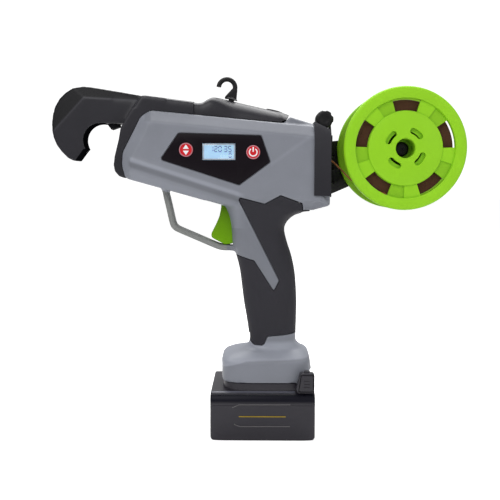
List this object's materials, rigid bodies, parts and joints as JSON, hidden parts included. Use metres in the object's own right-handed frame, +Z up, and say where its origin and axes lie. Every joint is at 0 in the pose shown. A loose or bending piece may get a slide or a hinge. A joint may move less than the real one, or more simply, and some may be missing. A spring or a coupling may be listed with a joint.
{
  "type": "electric vine tying tool",
  "caption": "Cordless pistol-grip tying tool with a hooked jaw, a trigger, a display panel, a rear wire spool on an arm and a slide-off battery.",
  "frame": {"origin": "centre of the battery's base, on which the tool stands", "axes": "+Z up, +X backwards from the jaw to the spool, -Y the side with the control panel"},
  "size_m": [0.3334, 0.0754, 0.2931],
  "materials": {
    "housing_plastic": "satin",
    "grip_rubber": "matte",
    "nose_plastic": "satin",
    "black_plastic": "satin",
    "panel_gloss": "gloss",
    "window_clear": "gloss",
    "lcd": "gloss",
    "board_laminate": "satin",
    "button_red": "satin",
    "trigger_green": "satin",
    "spool_green": "satin",
    "wire_paper": "matte",
    "pack_plastic": "satin",
    "steel": "satin",
    "motor_steel": "satin",
    "brass": "satin",
    "cell_can": "satin"
  },
  "bodies": {
    "tool_body": {"left_housing": "housing_plastic", "right_housing": "housing_plastic", "grip_sleeve_left": "grip_rubber", "grip_sleeve_right": "grip_rubber", "nose_left": "nose_plastic", "nose_right": "nose_plastic", "top_hood": "nose_plastic", "jaw_tooth": "steel", "trigger_guard": "housing_plastic", "trigger_spring": "steel", "trigger_pin": "steel", "trigger_switch": "black_plastic", "control_panel": "panel_gloss", "display_window": "window_clear", "lcd_module": "lcd", "control_board": "board_laminate", "gear_plate": "steel", "twist_motor": "motor_steel", "feed_frame": "steel", "feed_motor": "motor_steel", "wire_guide_tube": "steel", "tie_wire": "wire_paper", "rear_bracket": "nose_plastic", "wire_inlet_bush": "black_plastic", "reel_arm": "black_plastic", "reel_axle": "black_plastic", "axle_cap": "black_plastic", "terminal_block": "brass", "housing_screw_1": "steel", "housing_screw_2": "steel", "housing_screw_3": "steel", "housing_screw_4": "steel", "housing_screw_5": "steel", "housing_screw_6": "steel", "nose_screw": "steel"},
    "trigger": {"trigger": "trigger_green"},
    "adjust_button": {"adjust_button": "button_red"},
    "power_button": {"power_button": "button_red"},
    "hanging_hook": {"hanging_hook": "black_plastic", "hook_clip": "steel"},
    "clamp_knob": {"clamp_knob": "black_plastic"},
    "spool": {"wire_spool": "spool_green", "wire_winding": "wire_paper"},
    "twister": {"twist_shaft": "steel", "twist_gear": "brass"},
    "twist_pinion": {"twist_pinion": "steel"},
    "feed_roller": {"feed_roller": "steel", "feed_gear": "brass"},
    "idler_roller": {"idler_roller": "steel", "idler_gear": "brass"},
    "feed_pinion": {"feed_pinion": "steel"},
    "battery": {"battery_case": "pack_plastic", "battery_lid": "pack_plastic", "cell_board": "board_laminate", "battery_cell_1": "cell_can", "battery_cell_2": "cell_can", "battery_cell_3": "cell_can", "battery_cell_4": "cell_can"},
    "release_left": {"release_button_left": "black_plastic"},
    "release_right": {"release_button_right": "black_plastic"}
  },
  "joints": [
    {"name": "trigger_pull", "type": "hinge", "parent": "tool_body", "child": "trigger", "pos_m": [-0.02702, 0, 0.19095], "axis": [0, 1, 0], "range_deg": [-8, 0], "stiffness_Nm_per_rad": 1, "springref_deg": 3.44},
    {"name": "adjust_press", "type": "slide", "parent": "tool_body", "child": "adjust_button", "axis": [0, 1, 0], "range_m": [0, 0.0008], "stiffness_N_per_m": 1500, "springref_m": -0.0003},
    {"name": "power_press", "type": "slide", "parent": "tool_body", "child": "power_button", "axis": [0, 1, 0], "range_m": [0, 0.0008], "stiffness_N_per_m": 1500, "springref_m": -0.0003},
    {"name": "hook_swivel", "type": "hinge", "parent": "tool_body", "child": "hanging_hook", "pos_m": [-0.0258, 0, 0.27446], "axis": [0.2299, 0, 0.9732], "continuous": true},
    {"name": "knob_turn", "type": "hinge", "parent": "tool_body", "child": "clamp_knob", "pos_m": [0.04999, 0, 0.25802], "axis": [0, 1, 0], "continuous": true},
    {"name": "spool_spin", "type": "hinge", "parent": "tool_body", "child": "spool", "pos_m": [0.1125, 0, 0.23388], "axis": [0, 1, 0], "continuous": true},
    {"name": "twister_spin", "type": "hinge", "parent": "tool_body", "child": "twister", "pos_m": [-0.087, 0, 0.23696], "axis": [1, 0, 0], "continuous": true},
    {"name": "twist_pinion_spin", "type": "hinge", "parent": "tool_body", "child": "twist_pinion", "pos_m": [-0.068, 0, 0.21696], "axis": [1, 0, 0], "continuous": true},
    {"name": "feed_roller_spin", "type": "hinge", "parent": "tool_body", "child": "feed_roller", "pos_m": [0.03008, 0, 0.21741], "axis": [0, 1, 0], "continuous": true},
    {"name": "idler_roller_spin", "type": "hinge", "parent": "tool_body", "child": "idler_roller", "pos_m": [0.03008, 0, 0.23366], "axis": [0, 1, 0], "continuous": true},
    {"name": "feed_pinion_spin", "type": "hinge", "parent": "tool_body", "child": "feed_pinion", "pos_m": [0.01428, 0, 0.20416], "axis": [0, 1, 0], "continuous": true},
    {"name": "battery_slide", "type": "slide", "parent": "tool_body", "child": "battery", "axis": [1, 0, 0], "range_m": [0, 0.1]},
    {"name": "release_left_press", "type": "slide", "parent": "battery", "child": "release_left", "axis": [0, 1, 0], "range_m": [0, 0.0022], "stiffness_N_per_m": 1200, "springref_m": -0.0006},
    {"name": "release_right_press", "type": "slide", "parent": "battery", "child": "release_right", "axis": [0, -1, 0], "range_m": [0, 0.0022], "stiffness_N_per_m": 1200, "springref_m": -0.0006}
  ],
  "couplings": [
    {"joint": "twist_pinion_spin", "follows": "twister_spin", "ratio": -2.2},
    {"joint": "idler_roller_spin", "follows": "feed_roller_spin", "ratio": -1},
    {"joint": "feed_pinion_spin", "follows": "feed_roller_spin", "ratio": -1.5385}
  ]
}
